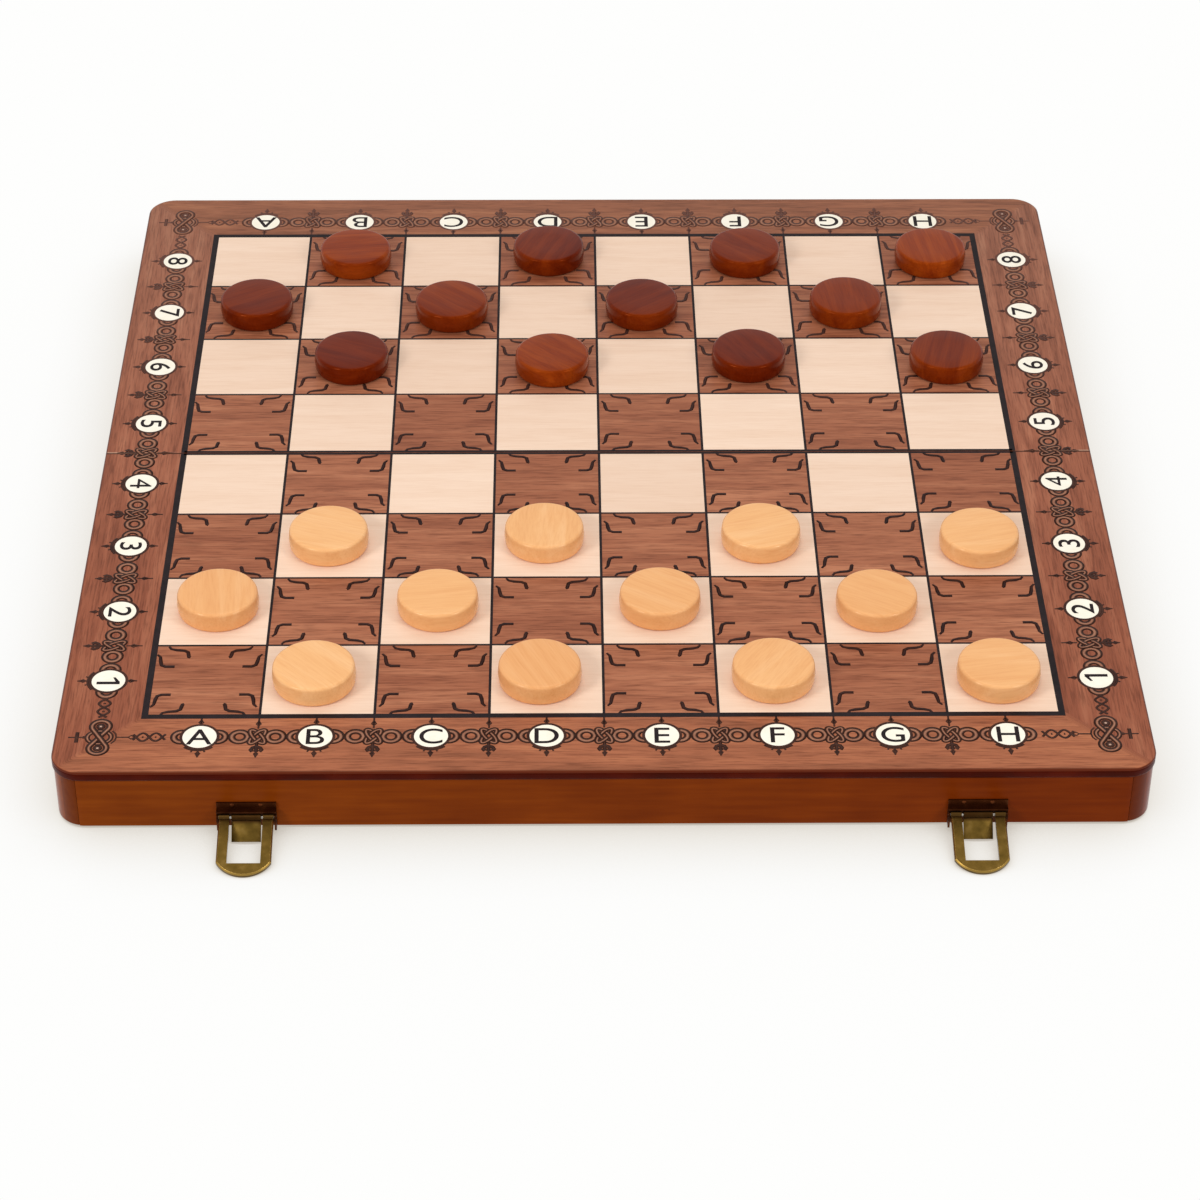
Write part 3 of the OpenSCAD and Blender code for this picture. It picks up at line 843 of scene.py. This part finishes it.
def corner_knot():
    """Motif of the front left corner, round its crossing, with the field to the upper right."""
    tangent = EIGHT_REACH * math.cos(math.asin(EIGHT_R / EIGHT_REACH))
    slope = EIGHT_R / EIGHT_REACH
    rise = (1 - slope ** 2) ** 0.5
    over = [(-slope * tangent * t, rise * tangent * t) for t in (CROSSING, 0.0, -CROSSING)]
    to_side = (FRONT_LINE - FOLD) / MM - 3.5 * SQUARE / MM
    to_front = SIDE_LINE / MM - 3.5 * SQUARE / MM
    rims = [ring(0, side * EIGHT_REACH, 0.9, 12) for side in (-1, 1)]
    eyes = [line((0, side * EIGHT_REACH - EYE_HALF), (0, side * EIGHT_REACH + EYE_HALF)) for side in (-1, 1)]
    stem = [line((-5.4, 0), (-11.0, 0)), line((6.2, 0), (10.4, 0)),
            ([(10.2, 0), (11.3, 1.0), (12.4, 0), (11.3, -1.0)], True),
            line((4.4, 3.5), (5.6, 2.0), (6.0, 0), (5.6, -2.0), (4.4, -3.5))]
    front_start, front_end = to_front - 22.4, to_front - 13.2
    side_start, side_end = 12.2, to_side - 10.7
    braids = braid(front_start, front_end, 2.2, 2) + braid(side_start, side_end, 2.1, 2, upright=True)
    for part in (0.25, 0.75):
        across = front_start + part * (front_end - front_start)
        up = side_start + part * (side_end - side_start)
        braids.append(line((across - DOT_HALF, 0), (across + DOT_HALF, 0)))
        braids.append(line((0, up - DOT_HALF), (0, up + DOT_HALF)))
    drops = [line((-4.7, 0), (-5.9, 0)), line((-7.9, -2.9), (-7.9, 2.9))]
    parts = [strap("waist", [oval(4.2, 3.5, 0)], PLAIT_STRAP),
             strap("eight", [round_eight(EIGHT_REACH, EIGHT_R)], EIGHT_STRAP, 1),
             strap("over", [line(*over)], EIGHT_STRAP, 2),
             drawn("lines", stem, THIN, knot_ink, TOP),
             drawn("braids", braids, BOLD, knot_ink, TOP),
             drawn("rims", rims, DROP, knot_ink, TOP),
             drawn("eyes", eyes, BOLD, eye_ink, TOP + 2 * CORE_RISE),
             drawn("drops", drops, 1.4, knot_ink, TOP)]
    return joined(parts, "corner_pattern")


corner_pattern = corner_knot()
corner_mirror = own_copy(corner_pattern, "corner_mirror", Matrix.Scale(-1, 4, (1, 0, 0)))
pick_all(corner_mirror)
bpy.ops.mesh.flip_normals()
only(corner_mirror)

# %% [markdown]
# The motifs are set out along the front and both sides of the near half. The knot that falls on the
# fold is cut through there, and its other half belongs to the far lid. The far half is the same print
# turned round.

# %% Setting the ornament out
columns = [(i - 3.5) * SQUARE for i in range(8)]
rows = [-(i + 0.5) * SQUARE - FOLD for i in range(4)]


def near_knotwork():
    knots = [((x + SQUARE / 2, -FRONT_LINE), 0) for x in columns[:-1]]
    labels = [((x, -FRONT_LINE), 0) for x in columns]
    for side, angle in ((-1, -QUARTER), (1, QUARTER)):
        knots += [((side * SIDE_LINE, y + SQUARE / 2), angle) for y in rows]
        labels += [((side * SIDE_LINE, y), angle) for y in rows]
    parts = [spread(knot_pattern, knots, "knots"), spread(loops_pattern, labels, "loops"),
             own_copy(corner_pattern, "corner_left", set_at((-SIDE_LINE, -FRONT_LINE))),
             own_copy(corner_mirror, "corner_right", set_at((SIDE_LINE, -FRONT_LINE)))]
    piece = joined(parts, "near_knotwork")
    pick_all(piece)
    bpy.ops.mesh.bisect(plane_co=(0, -FOLD, 0), plane_no=(0, 1, 0), clear_outer=True, use_fill=True)
    return only(piece)


knotwork_near = near_knotwork()
knotwork_far = own_copy(knotwork_near, "far_knotwork", HALF_TURN)
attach(knotwork_near, "near_half")
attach(knotwork_far, "far_half")
for pattern in (knot_pattern, loops_pattern, corner_pattern, corner_mirror):
    bpy.data.objects.remove(pattern)
print("knotwork faces", len(knotwork_near.data.polygons))

# %% [markdown]
# ## Labels
# Files are lettered A to H and ranks numbered 1 to 8, as on any chess board, each in a cream disc with
# a dark rim and with its head towards the middle. A disc is a filled circle, inset once for the rim
# and given a thin body.

# %% Discs
DISC_TOP = TOP + 0.036 * MM
LABEL_THICK = 0.05 * MM
LETTER_MIDDLE = TOP + 0.018 * MM
LETTER_H = 8.4 * MM
LETTER_WIDEN = 1.12
BOLDER = 0.008
BOLDER_BY_LETTER = {"4": 0.0, "B": 0.005}


def label_disc():
    bpy.ops.mesh.primitive_circle_add(vertices=48, radius=RIM_R, fill_type="NGON", location=(0, 0, DISC_TOP))
    piece = settle(bpy.context.object, "disc_pattern")
    dress(piece, knot_ink, disc_ink)
    pick_all(piece)
    bpy.ops.mesh.inset(thickness=RIM_R - DISC_R)
    piece.active_material_index = 1
    bpy.ops.object.material_slot_assign()
    return finish_with(piece, "SOLIDIFY", thickness=LABEL_THICK, offset=-1)


def with_flag(bar):
    """The plain font draws a bare bar for 1, so a slanting flag is joined to its head."""
    low, high = corners_of(bar)
    tall = high.y - low.y
    bpy.ops.mesh.primitive_plane_add(size=1)
    flag = settle(bpy.context.object, "flag")
    corners = ((-0.26, 0.68), (0.02, 0.82), (-0.26, 0.79), (0.02, 1.0))
    for vertex, (across, up) in zip(flag.data.vertices, corners):
        vertex.co = (low.x + across * tall, low.y + up * tall, 0)
    finish_with(flag, "SOLIDIFY", thickness=1.0, offset=0)
    return joined([bar, flag], "flagged_one")


def label_letter(character):
    """One letter or digit as a thin solid, centred and at its real height."""
    bpy.ops.object.text_add(location=(0, 0, 0))
    piece = bpy.context.object
    piece.data.body = character
    piece.data.extrude = 0.5
    piece.data.offset = BOLDER_BY_LETTER.get(character, BOLDER)
    bpy.ops.object.convert(target="MESH")
    piece = bpy.context.object
    if character == "1":
        piece = with_flag(piece)
    low, high = corners_of(piece)
    scale = LETTER_H / (high.y - low.y)
    middle = (low + high) / 2
    flat = Matrix.Diagonal((scale * LETTER_WIDEN, scale, LABEL_THICK / (high.z - low.z), 1))
    piece.data.transform(Matrix.Translation((0, 0, LETTER_MIDDLE)) @ flat @ Matrix.Translation(-middle))
    return dress(settle(piece, "letter_" + character), line_ink)


def label_places(half):
    """(character, place, turn) of every label on one half."""
    front = -1 if half == "near" else 1
    heads = 0 if half == "near" else math.pi
    places = [(letter, (x, front * FRONT_LINE), heads) for letter, x in zip("ABCDEFGH", columns)]
    for i, y in enumerate(rows):
        digit = str(4 - i) if half == "near" else str(5 + i)
        for side, angle in ((-1, -QUARTER), (1, QUARTER)):
            places.append((digit, (side * SIDE_LINE, y * -front), angle))
    return places


disc_pattern = label_disc()
letters = {character: label_letter(character) for character in "ABCDEFGH12345678"}
for half in ("near", "far"):
    places = label_places(half)
    discs = spread(disc_pattern, [(place, 0) for _, place, _ in places], half + "_label_discs")
    glyphs = [own_copy(letters[character], f"glyph_{i}", set_at(place, angle))
              for i, (character, place, angle) in enumerate(places)]
    text = joined(glyphs, half + "_label_letters")
    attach(discs, half + "_half")
    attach(text, half + "_half")
for pattern in [disc_pattern, *letters.values()]:
    bpy.data.objects.remove(pattern)
print("labels", 2 * len(places))

# %% [markdown]
# ## Rails and panels
# The wooden parts keep the model's shape. A copy of each gets its sharp edges eased, as sanding and
# lacquer leave them, so that the edges catch the light. The copy stands in for the model's part.

# %% Eased copies
def eased(node, name, width, material, edge_material, segments=2, angle=40):
    """Copy of a model part with its edges rounded. The rounding has a material of its own."""
    source = frame["nodes"][node]
    piece = bpy.data.objects.new(name, source.data.copy())
    bpy.context.scene.collection.objects.link(piece)
    pick_all(piece)
    bpy.ops.mesh.remove_doubles(threshold=0.001 * MM)
    bpy.ops.mesh.dissolve_limited(angle_limit=math.radians(1))
    only(piece)
    dress(piece, material, edge_material)
    finish_with(piece, "BEVEL", width=width, segments=segments, limit_method="ANGLE",
                angle_limit=math.radians(angle), use_clamp_overlap=True, material=1)
    bpy.ops.object.shade_smooth_by_angle(angle=math.radians(35))
    finish_with(piece, "WEIGHTED_NORMAL", keep_sharp=True, weight=100)
    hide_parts(node)
    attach(piece, source["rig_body"])
    return piece


for half in ("near", "far"):
    outer = half + ("_front_rail" if half == "near" else "_rear_rail")
    for node, width, wood in ((outer, 0.35, rail_along_x), (half + "_spine_rail", 0.25, rail_along_x),
                              (half + "_left_rail", 0.35, rail_along_y),
                              (half + "_right_rail", 0.35, rail_along_y), (half + "_panel", 0.5, panel_edge)):
        eased(node, node + "_eased", width * MM, wood, wood)

# %% [markdown]
# ## The men
# A draughtsman is turned on a lathe, so it is made by spinning: its profile is drawn as a chain of
# edges in the XZ plane and spun once round the Z axis. It has flat faces, round rims and a side that
# swells a little.

# %% One turned man
man_low, man_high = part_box("light_man_b1")
MAN_R = (man_high.x - man_low.x) / 2
MAN_T = man_high.z - man_low.z
RIM_ROUND = 1.35 * MM
BELLY = 0.3 * MM


def man_profile():
    """Half section of a man, from the middle of its foot to the middle of its top."""
    inner = MAN_R - BELLY - RIM_ROUND
    points = [(0.0, 0.0), (inner * 0.5, 0.0), (inner, 0.0)]
    bend = [math.radians(15 * i) for i in range(1, 7)]
    points += [(inner + RIM_ROUND * math.sin(a), RIM_ROUND - RIM_ROUND * math.cos(a)) for a in bend]
    points += [(MAN_R, MAN_T / 2)]
    points += [(inner + RIM_ROUND * math.cos(a), MAN_T - RIM_ROUND + RIM_ROUND * math.sin(a))
               for a in [0.0] + bend]
    return points + [(inner * 0.5, MAN_T), (0.0, MAN_T)]


def turned_man():
    bpy.ops.mesh.primitive_plane_add(size=MM)
    piece = settle(bpy.context.object, "man_pattern")
    pick_all(piece)
    bpy.ops.mesh.merge(type="CENTER")
    profile = man_profile()
    for before, after in zip(profile, profile[1:]):
        step = (after[0] - before[0], 0, after[1] - before[1])
        bpy.ops.mesh.extrude_vertices_move(TRANSFORM_OT_translate={"value": step})
    bpy.ops.mesh.select_all(action="SELECT")
    bpy.ops.mesh.spin(steps=72, angle=2 * math.pi, center=(0, 0, 0), axis=(0, 0, 1))
    bpy.ops.mesh.select_all(action="SELECT")
    bpy.ops.mesh.remove_doubles(threshold=0.01 * MM)
    bpy.ops.mesh.normals_make_consistent(inside=False)
    only(piece)
    bpy.ops.object.shade_smooth_by_angle(angle=math.radians(50))
    return piece


man_pattern = turned_man()
print("a man has", len(man_pattern.data.polygons), "faces, radius", round(MAN_R / MM, 2), "mm")

# %% [markdown]
# The men are lime wood. Half are clear lacquered, which makes them honey coloured, and half are
# stained red-brown first. Each was cut from another place, so the grain is read from an attribute that
# every man carries: its own points, turned and moved by a different amount.

# %% Lacquered lime wood
def turned_wood(name, stops, pores, roughness, shine, tint, unlike):
    """Turned lime under lacquer: soft growth bands, short fine fibres, a tone of its own for each man."""
    made, tree, shader = lacquered(name, roughness, shine, tint)
    own = add_node(tree, "Attribute", attribute_name="grain_mm").outputs["Vector"]
    bands = noise_of(tree, stretched(tree, own, (0.012, 0.16, 0.1)), 1.0, 3.0, Distortion=1.0)
    fibres = noise_of(tree, stretched(tree, own, (0.07, 1.5, 1.2)), 1.0, 4.0, Roughness=0.6)
    tone = noise_of(tree, stretched(tree, own, (0.004, 0.004, 0.004)), 1.0, 0.0)
    wood = ramp_of(tree, bands, stops)
    fine = ramp_of(tree, fibres, [(0.3, pores), (0.55, "#ffffff")])
    wood = mix_of(tree, 0.35, wood, fine, "MULTIPLY")
    shade = ramp_of(tree, tone, [(0.35, pores), (0.6, "#ffffff")])
    return painted(made, shader, mix_of(tree, unlike, wood, shade, "MULTIPLY"))


CLEAR_STOPS = [(0.3, "#ebaf74"), (0.5, "#efb57a"), (0.7, "#f2bc84")]
RED_STOPS = [(0.3, "#7c2c08"), (0.5, "#8c370a"), (0.7, "#9c440f")]
light_wood = turned_wood("clear_lacquered_lime", CLEAR_STOPS, "#ecd2bc", 0.22, 0.3, "#ffe6c8", 0.45)
dark_wood = turned_wood("red_stained_lime", RED_STOPS, "#a8786a", 0.16, 0.2, "#ff7a3c", 0.9)


def set_man(node, material, number):
    """A man where the model has one, with its own stretch of grain."""
    low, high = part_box(node)
    place = Vector(((low.x + high.x) / 2, (low.y + high.y) / 2, low.z))
    piece = own_copy(man_pattern, node + "_turned", Matrix.Identity(4))
    own = random.Random(number)
    turn = Matrix.Rotation(own.uniform(0, math.pi), 4, "Z")
    turn = turn @ Matrix.Rotation(own.uniform(-0.25, 0.25), 4, "X")
    move = Vector([own.uniform(0, 900) for _ in range(3)])
    grain = piece.data.attributes.new("grain_mm", "FLOAT_VECTOR", "POINT")
    for vertex, entry in zip(piece.data.vertices, grain.data):
        entry.vector = turn @ (vertex.co / MM) + move
    piece.data.transform(Matrix.Translation(place))
    dress(piece, material)
    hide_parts(node)
    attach(piece, node)
    return piece


men = sorted(name for name in frame["nodes"] if "_man_" in name)
for number, node in enumerate(men):
    set_man(node, light_wood if node.startswith("light") else dark_wood, number)
bpy.data.objects.remove(man_pattern)
print("men", len(men))

# %% [markdown]
# ## Brass
# The latches and hinges are pressed steel or brass, plated and then darkened to look antique. The
# plating shows golden where handling has rubbed it, along the edges, which are painted brighter still
# as a glint. Round the pin, where the hood of the base shades it, painted shade makes it nearly black.
# The bevel modifier gives the edges a material of their own, and the distance from the pin's line
# gives the painted shade. That line doesn't move when a loop swings, so the pattern stays put on the
# metal. On the loops the sloping faces are painted paler as a highlight, which their own normals tell.
# The latch bases are painted dark red-brown: heavy patina, with painted shade and reflection on it.

# %% Antiqued brass
pin_low, pin_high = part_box("latch_pins")
PIN_Y = (pin_low.y + pin_high.y) / 2
PIN_Z = (pin_low.z + pin_high.z) / 2


def antiqued_brass(name, stops, roughness=0.36, slope_highlight=None):
    """Antiqued plating with uneven patina, painted shade nearly black round the latch pin, and a painted
    highlight on sloping faces.
    """
    made, tree, shader = new_material(name, Metallic=1.0, Roughness=roughness)
    place = object_place(tree)
    faces = ramp_of(tree, noise_of(tree, place, 260.0, 4.0), stops)
    # Painted highlight: the sloping chamfer faces, found by their own normals, are painted paler where they
    # catch the light.
    if slope_highlight:
        tilt = parts_of(tree, add_node(tree, "TexCoord").outputs["Normal"])["Z"]
        steep = range_of(tree, tilt, 0.25, 0.4)
        level = range_of(tree, tilt, 0.88, 0.95, 1.0, 0.0)
        faces = mix_of(tree, math_of(tree, "MULTIPLY", steep, level), faces, colour(slope_highlight))
    # Painted shade: the metal darkens close to the pin's line, where the hood of the base shades the loop's
    # eyes and the tab's knuckle.
    out = math_of(tree, "SUBTRACT", parts_of(tree, place)["Y"], PIN_Y)
    up = math_of(tree, "SUBTRACT", parts_of(tree, place)["Z"], PIN_Z)
    out_up = [math_of(tree, "MULTIPLY", way, way) for way in (out, up)]
    near = math_of(tree, "SQRT", math_of(tree, "ADD", *out_up))
    pin_shade = range_of(tree, near, 1.6 * MM, 2.8 * MM, 0.85, 0.0)
    return painted(made, shader, mix_of(tree, pin_shade, faces, colour("#2a1408")))


def plated_steel():
    """Pins and screws: plain bright steel gone slightly grey."""
    made, tree, shader = new_material("zinc_plated_steel", Metallic=1.0, Roughness=0.32)
    cloud = noise_of(tree, object_place(tree), 500.0, 3.0)
    return painted(made, shader, ramp_of(tree, cloud, [(0.3, "#8f8a80"), (0.7, "#b9b4a9")]))


PLATE_STOPS = [(0.3, "#4e3c17"), (0.55, "#624c20"), (0.75, "#755d2f")]
LOOP_STOPS = [(0.3, "#4e3c17"), (0.55, "#5c471e"), (0.75, "#6c552a")]
DARK_STOPS = [(0.3, "#3c1c0c"), (0.55, "#4a2511"), (0.75, "#5a331a")]
brass = antiqued_brass("antiqued_brass_plate", PLATE_STOPS)
# Edge material: rubbed plating, painted brighter still as a glint where the edges catch the light.
rubbed_and_glint_brass = antiqued_brass("rubbed_brass_edge", [(0.3, "#a88548"), (0.7, "#c8a664")], roughness=0.3)
loop_brass = antiqued_brass("antiqued_brass_loop", LOOP_STOPS, slope_highlight="#8e7136")
# The latch bases and their nails are painted dark red-brown: heavy patina, with painted shade and a painted
# reflection of the red wood on it.
dark_brass = antiqued_brass("patina_and_shade_plate", DARK_STOPS, roughness=0.5)
steel = plated_steel()
for side in ("left", "right"):
    eased("latch_loop_" + side, f"latch_loop_{side}_worn", 0.25 * MM, loop_brass, rubbed_and_glint_brass,
          segments=3, angle=25)
    eased("latch_tab_" + side, f"latch_tab_{side}_worn", 0.12 * MM, brass, brass, angle=50)
    eased("latch_base_" + side, f"latch_base_{side}_worn", 0.15 * MM, dark_brass, dark_brass, angle=50)
    eased("catch_" + side, f"catch_{side}_worn", 0.2 * MM, brass, rubbed_and_glint_brass, angle=50)
for node in ("hinge_leaves_near", "hinge_leaves_far", "catch_nails"):
    dress(frame["nodes"][node], brass)
dress(frame["nodes"]["latch_nails"], dark_brass)
for node in ("hinge_pins", "hinge_screws_near", "hinge_screws_far", "latch_pins"):
    dress(frame["nodes"][node], steel)

# %% [markdown]
# ## The trays
# Each tray is lined with veneer and inlaid with the twelve points of a backgammon board half, dark
# and light in turn, running in from both short ends.

# %% Tray lining
def tray_veneer(name, stops):
    """Plain sliced veneer with a satin face."""
    made, tree, shader = lacquered(name, 0.45, 0.25)
    fine, broad = veneer_streaks(tree, object_place(tree), (0.7, 0.2, 0))
    return painted(made, shader, veneer_colour(tree, fine, broad, stops, "#b9a48c"))


lining_wood = tray_veneer("birch_veneer_lining", [(0.3, "#d9b98c"), (0.7, "#e6caa0")])
point_dark = tray_veneer("dark_veneer_point", [(0.3, "#5a2b18"), (0.7, "#6d3820")])
point_light = tray_veneer("cherry_veneer_point", [(0.3, "#b0713f"), (0.7, "#c28450")])
for half in ("near", "far"):
    dress(frame["nodes"][half + "_lining"], lining_wood)

lining_low, lining_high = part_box("near_lining")
POINTS = 6
POINT_W = (lining_high.y - lining_low.y) / POINTS
POINT_FOOT = 0.48 * POINT_W
POINT_L = 0.42 * (lining_high.x - lining_low.x)
POINT_LINE = 0.5 * MM
POINT_THICK = 0.05 * MM
POINT_SINK = 0.02 * MM


def near_points():
    """Twelve inlaid triangles, as thin slips let into the lining's face."""
    slips = []
    for i in range(POINTS):
        y = lining_low.y + (i + 0.5) * POINT_W
        for side in (-1, 1):
            bpy.ops.mesh.primitive_circle_add(vertices=3, radius=1, fill_type="NGON", location=(0, 0, 0))
            slip = settle(bpy.context.object, "point")
            low, high = corners_of(slip)
            grow = Matrix.Diagonal((POINT_FOOT / high.x, POINT_L / (high.y - low.y), 1, 1))
            turn = Matrix.Rotation(side * QUARTER, 4, "Z")
            edge = lining_high.x if side > 0 else lining_low.x
            place = Matrix.Translation((edge, y, lining_low.z + POINT_SINK))
            slip.data.transform(place @ turn @ grow @ Matrix.Translation((0, -low.y, 0)))
            pick_all(slip)
            bpy.ops.mesh.inset(thickness=POINT_LINE)
            only(slip)
            dress(slip, point_dark, point_light)
            for face in slip.data.polygons:
                face.material_index = (i + (side > 0)) % 2 if face.area > POINT_W * POINT_L / 4 else 0
            finish_with(slip, "SOLIDIFY", thickness=POINT_THICK, offset=1)
            slips.append(slip)
    piece = joined(slips, "near_tray_points")
    pick_all(piece)
    bpy.ops.mesh.normals_make_consistent(inside=False)
    bpy.ops.transform.translate(value=(0, 0, -2 * POINT_SINK))
    return only(piece)


points_near = near_points()
points_far = own_copy(points_near, "far_tray_points", HALF_TURN)
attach(points_near, "near_half")
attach(points_far, "far_half")
